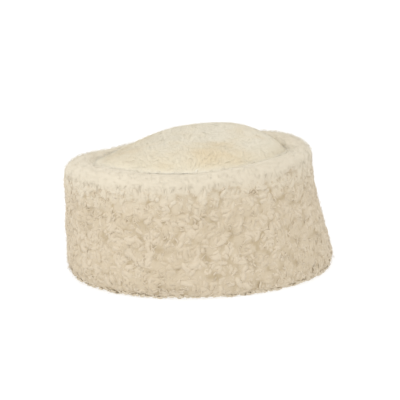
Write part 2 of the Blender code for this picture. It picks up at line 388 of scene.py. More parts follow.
def standing(chart, p, q, step=1e-4):
    # A chart's point, its tangents for each unit of p and of q, and its outward normal
    here = chart(p, q)
    alongP = (chart(p + step, q) - here) / step
    alongQ = (chart(p, q + step) - here) / step
    return here, alongP, alongQ, unit(np.cross(alongP, alongQ))


def woolPiece(name, chart, wool, material, lowest=0.0002):
    # A wisp bends at an even rate as it runs, x = L (sin(h + b t) - sin h) / b and the like for y,
    # across its lock. It rises over the lock's round top by crest (1 - r^2 / R^2)^(1/2), by its own
    # lift sin(pi t^0.85) and by its stand t, less its under, and dives at its ends by its sunk. Its
    # half width is w (1 - t^3)^(1/2) (0.7 + 0.3 sin(pi t)) / 2, and its height that times flat.
    rings, sides = wool["rings"], wool["sides"]
    count = len(wool["p"])
    column = {key: np.broadcast_to(value, count)[:, None] for key, value in wool.items()}
    share = np.linspace(0.0, 1.0, rings + 1)[None]
    heading, bend, length = column["heading"], column["bend"], column["length"]
    turned = heading + bend * (share - 0.5)
    x = length / bend * np.sin(turned)
    y = -length / bend * np.cos(turned)
    across, along = column["across"], column["along"]
    x = x - x.mean(axis=1, keepdims=True) + along * np.cos(heading) - across * np.sin(turned)
    y = y - y.mean(axis=1, keepdims=True) + along * np.sin(heading) + across * np.cos(turned)
    # From metres in the lock's tangent plane to steps of p and q
    _, alongP, alongQ, normal = standing(chart, column["p"], column["q"])
    first = unit(alongP)
    second = np.cross(normal, first)
    stepQ = y / np.sum(alongQ * second, axis=-1)
    stepP = (x - stepQ * np.sum(alongQ * first, axis=-1)) / np.linalg.norm(alongP, axis=-1)
    skin, _, _, normal = standing(chart, column["p"] + stepP, column["q"] + stepQ)
    far = np.minimum((x**2 + y**2) / column["radius"] ** 2, 1.0)
    rise = column["crest"] * np.sqrt(1 - far) + column["lift"] * np.sin(math.pi * share**0.85)
    rise = rise + column["stand"] * share - column["under"]
    middle = skin + normal * (rise - column["sunk"] * (1 - np.sin(math.pi * share)))[..., None]
    ahead = unit(np.gradient(middle, axis=1))
    side = unit(np.cross(normal, ahead))
    up = np.cross(ahead, side)
    width = column["width"] * np.sqrt(1 - share**3) * (0.7 + 0.3 * np.sin(math.pi * share))
    around = (np.arange(sides) / sides + 0.25) * fullTurn
    ring = np.cos(around)[:, None] * side[:, :rings, None, :]
    ring = ring + wool["flat"] * np.sin(around)[:, None] * up[:, :rings, None, :]
    points = middle[:, :rings, None, :] + ring * width[:, :rings, None, None] / 2
    points = np.concatenate([points.reshape(count, rings * sides, 3), middle[:, rings:]], axis=1)
    points[..., 2] = np.maximum(points[..., 2], lowest)
    # One strand's faces and their map spots: its sides, its tip, and its end as a fan of triangles
    k, at = [grid.ravel() for grid in np.meshgrid(np.arange(sides), np.arange(rings - 1))]
    after = (k + 1) % sides
    steps = np.stack([at, at, at + 1, at + 1], axis=-1)
    quads = steps * sides + np.stack([k, after, after, k], axis=-1)
    quadSpots = np.stack([k, k + 1, k + 1, k], axis=-1) / sides, steps / rings
    k = np.arange(sides)
    last = (rings - 1) * sides
    tips = np.stack([last + k, last + (k + 1) % sides, 0 * k + rings * sides], axis=-1)
    tipTops = np.array([[rings - 1, rings - 1, rings]] * sides) / rings
    tipSpots = np.stack([k, k + 1, k + 0.5], axis=-1) / sides, tipTops
    k = np.arange(1, sides - 1)
    ends = np.stack([k + 1, k, 0 * k], axis=-1)
    endSpots = ends / sides, strandMap["sliver"] * (ends == 0)
    tris = np.concatenate([tips, ends])
    triSpots = [np.concatenate(pair) for pair in zip(tipSpots, endSpots)]
    size = rings * sides + 1
    base = (np.arange(count) * size)[:, None, None]
    cells = math.ceil(math.sqrt(count))
    cell = np.stack([np.arange(count) % cells, np.arange(count) // cells], axis=-1)[:, None, :]
    corners = []
    for right, top in (quadSpots, triSpots):
        spots = np.stack([right.ravel(), top.ravel()], axis=-1)[None]
        spots = spots * (1 - 2 * strandMap["margin"]) + strandMap["margin"]
        corners.append(((cell + spots) / cells).reshape(-1, 2))
    faces = [(quads[None] + base).reshape(-1, 4), (tris[None] + base).reshape(-1, 3)]
    ringRise = np.concatenate([np.repeat(rise[:, :rings], sides, axis=1), rise[:, rings:]], axis=1)
    highest = np.maximum(column["crest"] + column["lift"] + column["stand"], 1e-6)
    values = {
        "high": (ringRise + column["under"]) / highest,
        "tone": np.repeat(column["tone"], size), "pale": np.repeat(column["pale"], size),
    }
    return addPiece(name, points, faces, np.concatenate(corners), values, material)


def lockCentres(across, up, shake, seed):
    # A staggered lattice of locks, each shaken off its place and with its own crest, heading and bend
    random = np.random.default_rng(seed)
    j, i = np.meshgrid(np.arange(up), np.arange(across), indexing="ij")
    return {
        "u": (i + j % 2 / 2 + random.uniform(-shake, shake, i.shape)) / across,
        "v": (j + 0.5 + random.uniform(-shake, shake, i.shape)) / up,
        "crest": random.uniform(0.4, 1.0, i.shape),
        "heading": random.uniform(0.0, math.pi, i.shape),
        "bend": random.choice([-1.0, 1.0], i.shape) * random.uniform(0.5, 2.0, i.shape),
        "tone": random.normal(0.0, 1.0, i.shape),
        "size": random.uniform(0.70, 1.30, i.shape),
    }


def lockTops(locks, u, v, reach=0.75):
    # At each point, the crest of the nearest lock times its round top (1 - d^2 / reach^2)^(1/2),
    # with d in lock widths, so that the wool sinks into a crevice where two locks meet
    up, across = locks["u"].shape
    nearest, crest = np.full(u.shape, np.inf), np.zeros(u.shape)
    i0, j0 = np.floor(u * across).astype(int), np.floor(v * up).astype(int)
    for dj in (-1, 0, 1):
        for di in (-2, -1, 0, 1):
            i, j = (i0 + di) % across, np.clip(j0 + dj, 0, up - 1)
            x = np.mod(u - locks["u"][j, i] + 0.5, 1.0) - 0.5
            distance = np.hypot(x * across, (v - locks["v"][j, i]) * up)
            closer = distance < nearest
            nearest = np.where(closer, distance, nearest)
            crest = np.where(closer, locks["crest"][j, i], crest)
    return crest * np.sqrt(np.clip(1 - (nearest / reach) ** 2, 0.0, 1.0))


# Materials: sockets that stand in Python expressions


class Link:
    def __init__(self, finish, socket):
        self.finish, self.socket = finish, socket

    def maths(self, operation, first, second):
        return self.finish.node("ShaderNodeMath", {"operation": operation}, {0: first, 1: second})

    def __add__(self, other):
        return self.maths("ADD", self, other)

    def __mul__(self, other):
        return self.maths("MULTIPLY", self, other)

    __radd__ = __add__
    __rmul__ = __mul__


class Finish:
    def __init__(self, name, roughness, specular, sheen):
        self.material = bpy.data.materials.new(name)
        self.material.use_nodes = True
        self.tree = self.material.node_tree
        self.shader = self.tree.nodes["Principled BSDF"]
        self.fill(self.shader, {"Roughness": roughness, "Specular IOR Level": specular})
        self.fill(self.shader, {"Sheen Weight": sheen, "Sheen Roughness": 0.6})

    def fill(self, node, values):
        for key, value in values.items():
            if isinstance(value, Link):
                self.tree.links.new(value.socket, node.inputs[key])
            else:
                node.inputs[key].default_value = value

    def node(self, kind, settings, values, output=0):  # any node: its settings first, then its sockets
        made = self.tree.nodes.new(kind)
        for key, setting in settings.items():
            setattr(made, key, setting)
        self.fill(made, values)
        return Link(self, made.outputs[output])

    def place(self):
        return self.node("ShaderNodeTexCoord", {}, {}, "Object")

    def attribute(self, name):
        return self.node("ShaderNodeAttribute", {"attribute_name": name}, {}, "Fac")

    def noise(self, scale, detail):
        return self.node("ShaderNodeTexNoise", {}, {"Vector": self.place(), "Scale": scale, "Detail": detail})

    def fibres(self, across, along):  # fine noise drawn out along each strand, by its cell in the map
        spots = self.node("ShaderNodeUVMap", {"uv_map": "OFBake"}, {})
        stretched = {0: spots, 1: (across, along, 1.0)}
        vector = self.node("ShaderNodeVectorMath", {"operation": "MULTIPLY"}, stretched)
        return self.node("ShaderNodeTexNoise", {}, {"Vector": vector, "Scale": 1.0, "Detail": 2.0})

    def near(self, spot, start, end):  # a smooth step from 1 at start to 0 at end metres from a spot
        reach = self.node("ShaderNodeVectorMath", {"operation": "DISTANCE"}, {0: self.place(), 1: spot}, 1)
        return self.ramp(reach, end, start)

    def ramp(self, value, start, end):  # a smooth step from 0 at start to 1 at end
        settings = {"interpolation_type": "SMOOTHSTEP"}
        return self.node("ShaderNodeMapRange", settings, {"Value": value, "From Min": start, "From Max": end})

    def mix(self, factor, first, second):
        return self.node("ShaderNodeMix", {"data_type": "RGBA"}, {0: factor, 6: first, 7: second}, 2)

    def paint(self, colour):
        self.fill(self.shader, {"Base Color": colour})

    def bump(self, height, distance, strength):
        values = {"Height": height, "Distance": distance, "Strength": strength}
        self.fill(self.shader, {"Normal": self.node("ShaderNodeBump", {}, values)})


def shade(red, green, blue):  # a screen colour, 0 to 255, as linear light
    linear = [((c / 255 + 0.055) / 1.055) ** 2.4 for c in (red, green, blue)]
    return (*linear, 1.0)


# Root and pit are painted shade in the wool's lower parts and crevices, peak is painted light on the pile's
# top, glow is painted light that pales the groove, and yellow, besides its clouds, is painted shade round the
# crown's dent
fleeceLook = {
    "tip": shade(213, 199, 176), "root": shade(202, 186, 159), "pitShade": shade(188, 171, 142),
    "warm": shade(206, 191, 166), "rim": shade(219, 209, 189), "rimWarm": shade(218, 206, 182),
    "cream": shade(219, 208, 183), "yellow": shade(218, 202, 170), "peak": shade(224, 217, 199),
    "glow": shade(236, 230, 214), "frost": shade(238, 233, 219), "mist": shade(220, 211, 196),
    "hide": shade(214, 190, 152), "hideDark": shade(190, 162, 122),
}
woolGrain = {
    "curlDrift": 55.0, "curlSpan": (0.35, 0.65), "curlTone": 0.12,  # slow patches in the curly wool
    "rootShadeSpan": (-0.2, 0.5), "rootTone": 0.06,  # where a wisp leaves the painted shade of its root
    "topLightSpan": (0.102, 0.124),  # the heights in which the pile turns to the whiter colour painted as light on its top
    "pileDrift": 38.0, "dentShadeShare": 0.36, "patchSpan": (0.40, 1.05),  # clouds of a warmer colour, with more of it painted as shade round the crown's dent
    "dentShade": (0.004, 0.048),  # the distances from the dent's spot in which that painted shade thins out
    "felt": 900.0, "feltShare": 0.3, "pitShadeEnd": 0.15,  # the felt's fibres, and where the painted shade of its crevices ends
    "clouds": 28.0, "cloudSpan": (0.3, 0.7), "nap": 1500.0,  # the hide
    "curlFibres": (480.0, 60.0), "pileFibres": (900.0, 80.0),  # for each strand, across and along it
}  # the other noise scales are for each metre


def curlFinish():  # warm and darker towards the roots with painted shade, pale on top, each wisp with its own tone, and fibres along it
    finish = Finish("curly_wool", roughness=0.92, specular=0.10, sheen=0.12)
    high, tone = finish.attribute("high"), finish.attribute("tone")
    drift = finish.noise(woolGrain["curlDrift"], 2.0) + tone * woolGrain["curlTone"]
    colour = finish.mix(finish.ramp(drift, *woolGrain["curlSpan"]), fleeceLook["tip"], fleeceLook["warm"])
    # Painted shade: the root colour on each wisp's lower part
    grown = finish.ramp(high + tone * woolGrain["rootTone"], *woolGrain["rootShadeSpan"])
    colour = finish.mix(grown, fleeceLook["root"], colour)
    # Near the rim the rim's own colour, and on the hem's tufts painted light against the hem's shade
    finish.paint(finish.mix(finish.attribute("pale"), colour, fleeceLook["rim"]))
    finish.bump(finish.fibres(*woolGrain["curlFibres"]), distance=0.0003, strength=0.35)
    return finish.material


# The rim's own colour, and painted light round the hem against its shade
def cuffTop(finish):
    return finish.mix(finish.attribute("pale"), fleeceLook["warm"], fleeceLook["rim"])


def pileTop(finish, plain, warm):  # whiter at the peak with painted light, warmer in one patch round the crown's dent with painted shade, and paler in the groove with painted light against its shade
    height = finish.node("ShaderNodeSeparateXYZ", {}, {"Vector": finish.place()}, "Z")
    # Painted light: whiter towards the top
    colour = finish.mix(finish.ramp(height, *woolGrain["topLightSpan"]), plain, fleeceLook["peak"])
    # Painted shade: warmer round the crown's dent
    dentShade = finish.near(dentShadeSpot, *woolGrain["dentShade"])
    drift = finish.noise(woolGrain["pileDrift"], 2.0) + dentShade * woolGrain["dentShadeShare"]
    colour = finish.mix(finish.ramp(drift, *woolGrain["patchSpan"]), colour, warm)
    # Painted light: paler in the groove, against its shade
    return finish.mix(finish.attribute("pale"), colour, fleeceLook["glow"])


def crownTop(finish):
    return pileTop(finish, fleeceLook["cream"], fleeceLook["yellow"])


def rimTop(finish):
    return pileTop(finish, fleeceLook["rim"], fleeceLook["rimWarm"])


def feltFinish(name, topColour, topStart):  # the felted wool under the strands, with painted shade in its crevices
    finish = Finish(name, roughness=0.95, specular=0.08, sheen=0.12)
    fibres = finish.noise(woolGrain["felt"], 3.0)
    high = finish.attribute("high") + fibres * woolGrain["feltShare"]
    shown = finish.ramp(high, woolGrain["pitShadeEnd"], topStart)
    finish.paint(finish.mix(shown, fleeceLook["pitShade"], topColour(finish)))
    finish.bump(fibres, distance=0.0005, strength=0.4)
    return finish.material


def pileFinish(name, topColour):  # fine combed pile
    finish = Finish(name, roughness=0.94, specular=0.08, sheen=0.16)
    finish.paint(topColour(finish))
    finish.bump(finish.fibres(*woolGrain["pileFibres"]), distance=0.0001, strength=0.3)
    return finish.material


def fuzzFinish(name, topColour, pale, share):  # the finest strands: plain and paler
    finish = Finish(name, roughness=0.95, specular=0.05, sheen=0.2)
    finish.paint(finish.mix(share, topColour(finish), pale))
    return finish.material


def hideFinish():  # brushed hide: cloudy, with a fine nap
    finish = Finish("bare_hide", roughness=0.88, specular=0.15, sheen=0.12)
    clouds = finish.ramp(finish.noise(woolGrain["clouds"], 3.0), *woolGrain["cloudSpan"])
    finish.paint(finish.mix(clouds, fleeceLook["hide"], fleeceLook["hideDark"]))
    finish.bump(finish.noise(woolGrain["nap"], 3.0), distance=0.0004, strength=0.4)
    return finish.material


curlWool = curlFinish()
pileWool = pileFinish("short_pile", crownTop)
rimWool = pileFinish("combed_pile", rimTop)
curlFuzz = fuzzFinish("curly_fuzz", cuffTop, fleeceLook["mist"], share=0.8)
rimFuzzWool = fuzzFinish("combed_fuzz", rimTop, fleeceLook["frost"], share=0.5)
pileFuzz = fuzzFinish("short_fuzz", crownTop, fleeceLook["frost"], share=0.5)
curlFelt = feltFinish("curly_felt", cuffTop, topStart=0.9)
pileFelt = feltFinish("short_felt", crownTop, topStart=0.6)
bareHide = hideFinish()

# The cuff: felted wool, curly locks and a combed rim. A pair that blends is the start and the span
# of a smooth step along the section, in metres or as a share of the locks' reach.

cuff = {
    "columns": 360, "flatRows": 4, "faceRows": 58, "rollRows": 18, "liningRows": 12, "mapStrips": 4,
    "locksAround": 92, "lockTiers": 13, "shake": 0.38, "seed": 11,
    "reach": 0.0030, "wander": 0.0040, "wanderCells": 56, "wanderSeed": 27,
    "relief": 0.0009, "reliefAtRim": 0.0001, "under": 0.0012, "plainHigh": 0.8,
    "curlIn": (0.0, 0.010), "curlOut": (-0.012, 0.016), "combIn": (-0.010, 0.012), "combOut": (0.004, 0.006),
    # The hem's blend is painted light round the hem's corner, against the shade where the wool meets the
    # floor
    "rimPale": (0.70, 0.34), "hemLightSpan": (0.003, 0.008), "hemLight": 0.7,
    "hemUnder": 0.0012, "dipIn": (-0.004, 0.005), "dipOut": (0.010, 0.010), "feltDip": 1.1,
}
cuffLocks = lockCentres(cuff["locksAround"], cuff["lockTiers"], cuff["shake"], cuff["seed"])


def curlReach(turn):
    # The length of section that the locks cover, up to the roll's near side, where their edge wanders
    # by w (noise - 1/2)
    wander = softNoise(turn / fullTurn, 0 * turn, cuff["wanderCells"], 1, cuff["wanderSeed"]) - 0.5
    return cuffLengths(turn)[1] + cuff["reach"] + cuff["wander"] * wander


def rimShare(share):  # how much of the rim's paler colour shows at a share of the locks' reach
    return rising(share, *cuff["rimPale"])


def hemDip(along):  # how far the wool draws back round the hem's corner
    return cuff["hemUnder"] * rising(along, *cuff["dipIn"]) * (1 - rising(along, *cuff["dipOut"]))


def cuffFelt():
    # The cuff's skin from under the hem, up the face, over the roll and down the lining, raised by
    # its locks
    turn = np.arange(cuff["columns"]) / cuff["columns"] * fullTurn
    _, rollStart, rollEnd = cuffLengths(turn)
    flat = hat["cuffEdge"] - hat["hemRadius"]
    lining = rollEnd + woolTop(turn) - rollDepth(turn)
    spans = [
        (-flat + 0 * turn, 0 * turn, cuff["flatRows"]), (0 * turn, rollStart, cuff["faceRows"]),
        (rollStart, rollEnd, cuff["rollRows"]), (rollEnd, lining, cuff["liningRows"]),
    ]
    along = np.concatenate([a + (b - a) * (np.arange(n) / n)[:, None] for a, b, n in spans])
    turns = np.broadcast_to(turn, along.shape)
    points, _, _, normal = standing(cuffChart, turns, along)
    edge = curlReach(turns)
    tops = lockTops(cuffLocks, turns / fullTurn, along / edge)
    curly = rising(along, *cuff["curlIn"]) * (1 - rising(along - edge, *cuff["curlOut"]))
    combed = rising(along - edge, *cuff["combIn"]) * (1 - rising(along - rollEnd, *cuff["combOut"]))
    rise = tops * (cuff["relief"] * curly + cuff["reliefAtRim"] * combed)
    rise = rise - cuff["under"] * curly
    rise = rise - hemDip(along) * cuff["feltDip"]
    points = points + normal * rise[..., None]
    points[..., 2] = np.maximum(points[..., 2], 0.0)
    high = tops * curly + cuff["plainHigh"] * combed + cuff["plainHigh"] * (1 - np.maximum(curly, combed))
    # Painted light round the hem's corner, against the shade at the floor
    hem = cuff["hemLight"] * (1 - rising(along, *cuff["hemLightSpan"]))
    values = {"high": high, "pale": np.where(along < rollEnd, rimShare(along / edge) + hem, combed)}
    piece = shellPiece("cuff_fleece", points, values, True, cuff["mapStrips"], curlFelt)
    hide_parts("cuff")


def each(values, many):  # one value for each strand of a lock
    return np.repeat(np.ravel(values), many)


curl = {
    "seed": cuff["seed"] + 1, "pieces": 2, "wisps": 4, "rings": 5, "sides": 6,
    "flat": 0.44, "sunk": 0.0018, "under": 0.0019,
    "radius": 0.78, "narrowest": 0.5, "crestRadius": 1.15,  # shares of a tier's height and of the radius
    "spacing": 0.0022, "acrossShake": 0.0008, "alongShake": 0.0012,
    "length": (0.85, 1.30), "width": (0.0026, 0.0052), "lift": (0.0, 0.0008),
    "driftCells": (30, 6), "driftSeed": 33, "swing": 0.9, "headingShake": 0.55,
    "lowSwing": 0.4, "lowEnd": 0.5,  # near the hem the locks lie flatter
    "bendShake": 0.8, "bendAside": 0.013,  # the second keeps every bend off zero
    "rimLoss": 0.6, "rimFade": (0.90, 0.1), "hemLeast": 0.6, "hemFade": (0.0, 0.14),
    "toneShare": 0.6, "toneShake": 0.6,
}


def curlWisps():
    # A lock's wisps lie side by side over its round top, share its heading and bend, and shorten
    # towards its edges as 2 (R^2 - a^2)^(1/2)
    random = np.random.default_rng(curl["seed"])
    many = curl["wisps"]
    tiers, around = cuffLocks["u"].shape
    count = tiers * around * many
    turn, level = cuffLocks["u"] * fullTurn, cuffLocks["v"]
    along = level * curlReach(turn)
    radius = curlReach(0.0) / tiers * curl["radius"]
    flatter = curl["lowSwing"] * (1 - rising(level, 0.0, curl["lowEnd"]))
    drift = softNoise(cuffLocks["u"], level, *curl["driftCells"], curl["driftSeed"]) * fullTurn
    heading = (drift + (cuffLocks["heading"] - math.pi / 2) * curl["swing"]) * (1 - flatter)
    curly = 1 - curl["rimLoss"] * rising(level, *curl["rimFade"])
    hem = curl["hemLeast"] + (1 - curl["hemLeast"]) * rising(level, *curl["hemFade"])
    across = np.tile(np.arange(many) - (many - 1) / 2, tiers * around) * curl["spacing"]
    across = across + random.normal(0, curl["acrossShake"], count)
    length = 2 * np.sqrt(np.maximum(radius**2 - across**2, (curl["narrowest"] * radius) ** 2))
    size = each(cuffLocks["size"], many)
    bend = each(cuffLocks["bend"], many)
    tone = each(cuffLocks["tone"], many) * curl["toneShare"]
    return {
        "rings": curl["rings"], "sides": curl["sides"], "flat": curl["flat"],
        "p": each(turn, many), "q": each(along, many),
        "heading": each(heading, many) + random.normal(0, curl["headingShake"], count),
        "bend": bend + random.normal(0, curl["bendShake"], count) + curl["bendAside"],
        "length": length * random.uniform(*curl["length"], count) * size, "across": across,
        "along": random.normal(0, curl["alongShake"], count), "radius": radius * curl["crestRadius"],
        "crest": each(cuffLocks["crest"] * curly * hem, many) * cuff["relief"],
        "lift": random.uniform(*curl["lift"], count) * each(hem, many),
        "sunk": curl["sunk"], "stand": 0.0, "under": curl["under"] + each(hemDip(along), many),
        "width": random.uniform(*curl["width"], count) * size,
        "tone": tone + random.normal(0, curl["toneShake"], count),
        "pale": each(rimShare(level), many),
    }


# What single strands share, unless their own piece says otherwise
strand = {
    "rings": 3, "sides": 3, "flat": 0.8, "radius": 0.012, "crest": 0.0002, "sunk": 0.0005,
    "across": 0.0, "along": 0.0, "lift": 0.0, "stand": 0.0, "under": 0.0, "pale": 0.0,
}
strandBend = (0.3, 2.2)


def looseStrands(p, q, seed, piece):
    # Single strands at given places. Their piece holds what is the same for all, and what is drawn
    # for each: uniform between two ends, or normal with a mean and a spread
    random = np.random.default_rng(seed)
    count = len(p)
    wool = {
        **strand, **piece["same"], "p": p, "q": q, "heading": random.uniform(0, fullTurn, count),
        "bend": random.choice([-1.0, 1.0], count) * random.uniform(*strandBend, count),
        "tone": random.normal(0.0, 1.0, count),
    }
    kinds = {"uniform": random.uniform, "normal": random.normal}
    for key, (kind, first, second) in piece["drawn"].items():
        wool[key] = kinds[kind](first, second, count)
    return wool


tuft = {
    "count": 230, "seed": cuff["seed"] + 6, "shake": 0.4, "place": (0.0015, 0.0065),
    # The tufts' paleness is painted light against the hem's shade
    "same": {"pale": 0.4, **{key: curl[key] for key in ("rings", "sides", "flat", "sunk")}},
    "drawn": {
        "heading": ("normal", 0.0, 0.7), "length": ("uniform", 0.004, 0.009),
        "width": ("uniform", 0.0030, 0.0052), "under": ("uniform", 0.0002, 0.0018),
    },
}
stray = {
    "count": 2500, "seed": cuff["seed"] + 2, "place": (0.12, 0.97),
    "same": {
        "rings": 4, "sides": 5, "flat": 0.4, "sunk": 0.0008,
        "crest": cuff["relief"] * 0.5, "under": cuff["under"] + 0.0002,
    },
    "drawn": {
        "length": ("uniform", 0.004, 0.009), "lift": ("uniform", 0.0, 0.0006),
        "width": ("uniform", 0.0012, 0.0026), "tone": ("normal", 0.2, 0.6),
    },
}
fuzz = {
    "count": 8000, "seed": cuff["seed"] + 4, "place": (0.04, 1.0),
    "same": {"rings": 2, "crest": cuff["relief"] * 0.6, "under": cuff["under"]},
    "drawn": {
        "length": ("uniform", 0.002, 0.005), "stand": ("uniform", 0.0010, 0.0040),
        "width": ("uniform", 0.00012, 0.00025), "tone": ("normal", 0.6, 0.6),
    },
}


def hemTufts():  # small wisps round the hem's corner, which give it a lumpy lower edge
    random = np.random.default_rng(tuft["seed"])
    many = tuft["count"]
    turn = (np.arange(many) + random.uniform(-tuft["shake"], tuft["shake"], many)) / many * fullTurn
    return looseStrands(turn, random.uniform(*tuft["place"], many), tuft["seed"] + 1, tuft)


def lockStrands(piece):  # finer strands across the locks, or the finest ones, which stand up off them
    random = np.random.default_rng(piece["seed"])
    turn = random.random(piece["count"]) * fullTurn
    share = random.uniform(*piece["place"], piece["count"])
    return looseStrands(turn, share * curlReach(turn), piece["seed"] + 1, piece)


def sector(wool, start, end):  # the strands whose roots lie between two shares of the full turn
    share = np.mod(wool["p"], fullTurn) / fullTurn
    chosen = (share >= start) & (share < end)
    return {key: value[chosen] if np.ndim(value) else value for key, value in wool.items()}


cuffFelt()
curls = curlWisps()
for part in range(curl["pieces"]):
    span = sector(curls, part / curl["pieces"], (part + 1) / curl["pieces"])
    woolPiece(f"cuff_curls_{part + 1}", cuffChart, span, curlWool)
woolPiece("cuff_strays", cuffChart, lockStrands(stray), curlWool)
woolPiece("cuff_fuzz", cuffChart, lockStrands(fuzz), curlFuzz)
woolPiece("cuff_hem", cuffChart, hemTufts(), curlWool)

rim = {
    "count": 10500, "seed": 51, "from": -0.004, "beyond": 0.012,
    "drift": 0.8, "driftCells": (40, 3), "driftLength": 0.04, "driftSeed": 52,
    "standPlace": (-0.012, 0.010), "grooveLightPlace": (-0.012, 0.012),
    "same": {"flat": 0.4, "under": 0.0001, "crest": 0.0, "sunk": 0.0002},
    "drawn": {
        "heading": ("normal", 0.0, 0.16), "length": ("uniform", 0.006, 0.012),
        "lift": ("uniform", 0.0, 0.0001), "width": ("uniform", 0.0002, 0.00035),
        "stand": ("uniform", 0.0, 0.0016),
    },
}
rimHair = {
    "count": 6500, "seed": 53, "from": 0.002, "same": {"rings": 2},
    "drawn": {
        "length": ("uniform", 0.003, 0.006), "stand": ("uniform", 0.0004, 0.0034),
        "width": ("uniform", 0.00012, 0.00020),
    },
}


def rimStrands():  # fine strands combed over the rim, from the face to the groove
    random = np.random.default_rng(rim["seed"])
    turn = random.random(rim["count"]) * fullTurn
    _, rollStart, rollEnd = cuffLengths(turn)
    start = curlReach(turn) + rim["from"] * random.random(rim["count"])
    along = start + (rollEnd - start + rim["beyond"]) * random.random(rim["count"])
    up = (along - rollStart) / rim["driftLength"]
    drift = (softNoise(turn / fullTurn, up, *rim["driftCells"], rim["driftSeed"]) - 0.5) * rim["drift"]
    strands = looseStrands(turn, along, rim["seed"] + 1, rim)
    strands["heading"] = math.pi / 2 + drift + strands["heading"]
    strands["stand"] = strands["stand"] * rising(along - rollEnd, *rim["standPlace"])
    strands["pale"] = grooveLight(turn, along - rollEnd, *rim["grooveLightPlace"])
    return strands


def rimFuzz():  # strands that stand up off the rim
    random = np.random.default_rng(rimHair["seed"])
    turn = random.random(rimHair["count"]) * fullTurn
    start = curlReach(turn) + rimHair["from"] * random.random(rimHair["count"])
    along = start + (cuffLengths(turn)[2] - start) * random.random(rimHair["count"])
    return looseStrands(turn, along, rimHair["seed"] + 1, rimHair)


woolPiece("rim_pile", cuffChart, rimStrands(), rimWool)
woolPiece("rim_fuzz", cuffChart, rimFuzz(), rimFuzzWool)
print("cuff is ready")

# The crown: felted pile, short wisps and bare hide inside. Its blends run along its chart, from 0 at
# the peak and 1 at the shoulder to 2 at the bottom edge.

crown = {
    "columns": 240, "domeRows": 60, "sideRows": 12, "innerDomeRows": 12, "innerSideRows": 8, "mapStrips": 3,
    "locksAround": 60, "lockTiers": 9, "lockReach": 1.3, "lockShake": 0.3, "seed": 71,
    "relief": 0.0002, "meanTop": 0.4, "reliefIn": (0.5, 0.4), "reliefOut": (1.0, 0.3),
    "under": 0.0009, "underOut": (1.0, 1.0), "high": 0.7, "highRelief": 0.3, "innerHigh": 0.5,
    "grooveLightPlace": (0.70, 0.3), "hide": 0.0014, "hideGap": 0.0003, "hideColumns": 96, "hideStrips": 2,
}
crownLocks = lockCentres(crown["locksAround"], crown["lockTiers"], crown["lockShake"], crown["seed"])


def shellRows(columns, outer, inner, outerDepth, innerDepth):
    # Rings from the outer peak over the shoulder to the bottom edge, then up inside to the inner peak
    turn = np.arange(columns) / columns * fullTurn
    rings = []
    for depth, (dome, side) in ((outerDepth, outer), (innerDepth, inner)):
        along = np.concatenate([np.arange(1, dome + 1) / dome, 1 + np.arange(1, side + 1) / side])
        grid = np.broadcast_to(along[:, None], (len(along), columns))
        turns = np.broadcast_to(turn, grid.shape)
        rings.append((turns, grid, crownChart(turns, grid, depth)))
    return rings


def crownFelt():
    # The pile's face and, a gap over the hide, its back. The face is raised by its locks near the
    # shoulder, and lies deeper over the dome, under the strands.
    outer, inner = (crown["domeRows"], crown["sideRows"]), (crown["innerDomeRows"], crown["innerSideRows"])
    feltDepth = 1 - (crown["hide"] + crown["hideGap"]) / hat["crownWall"]
    (turns, grid, outside), (_, _, inside) = shellRows(crown["columns"], outer, inner, 0.0, feltDepth)
    shown = rising(grid, *crown["reliefIn"]) * (1 - rising(grid, *crown["reliefOut"]))
    tops = lockTops(crownLocks, turns / fullTurn, grid / crown["lockReach"]) - crown["meanTop"]
    _, _, _, inward = standing(crownChart, turns, grid)
    rise = crown["relief"] * tops * shown - crown["under"] * (1 - rising(grid, *crown["underOut"]))
    points = np.concatenate([outside - inward * rise[..., None], inside[::-1]])
    back = 0 * inside[..., 2]
    high = np.concatenate([crown["high"] + crown["highRelief"] * tops * shown, back + crown["innerHigh"]])
    values = {"high": high, "pale": np.concatenate([grooveLight(turns, grid, *crown["grooveLightPlace"]), back])}
    piece = shellPiece("crown_fleece", points, values, False, crown["mapStrips"], pileFelt)
    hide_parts("crown")


def crownHide():
    sizes = (crown["innerDomeRows"], crown["innerSideRows"])
    depth = 1 - crown["hide"] / hat["crownWall"]
    (_, _, outside), (_, _, inside) = shellRows(crown["hideColumns"], sizes, sizes, depth, 1.0)
    points = np.concatenate([outside, inside[::-1]])
    shellPiece("crown_hide", points, {}, False, crown["hideStrips"], bareHide)


pile = {  # the fine strands that lie over the dome
    "count": 7600, "seed": 78, "same": {"crest": 0.0, "under": 0.00086, "flat": 0.18, "sunk": 0.0001},
    "drawn": {
        "length": ("uniform", 0.005, 0.010), "lift": ("uniform", 0.0, 0.0001),
        "width": ("uniform", 0.0002, 0.00035),
    },
}
wisp = {  # a few small wisps among them
    "count": 90, "seed": 74, "same": {"rings": 6, "sides": 6, "flat": 0.22, "under": crown["under"] + 0.0001},
    "drawn": {
        "length": ("uniform", 0.006, 0.012), "lift": ("uniform", 0.0, 0.0003),
        "width": ("uniform", 0.0010, 0.0022),
    },
}
down = {  # finer ones that stand up
    "count": 4600, "seed": 77, "same": {"rings": 2, "under": crown["under"]},
    "drawn": {
        "length": ("uniform", 0.003, 0.006), "stand": ("uniform", 0.0003, 0.0028),
        "width": ("uniform", 0.00010, 0.00018),
    },
}
skirt = {"count": 2400, "seed": 72, "place": (1.03, 1.14), "stand": (0.0, 0.0020), "width": (0.0003, 0.0008)}
comb = {
    "reach": 0.985, "spare": 1.6, "plan": 2.4, "placeShake": 0.0006, "headingShake": 0.5,
    "driftSize": 0.3, "driftCells": (7, 6), "driftSeed": 74, "grooveLightPlace": (0.87, 0.12),
}  # how strands are laid over the dome: plan is the filled box, in half sizes of the head


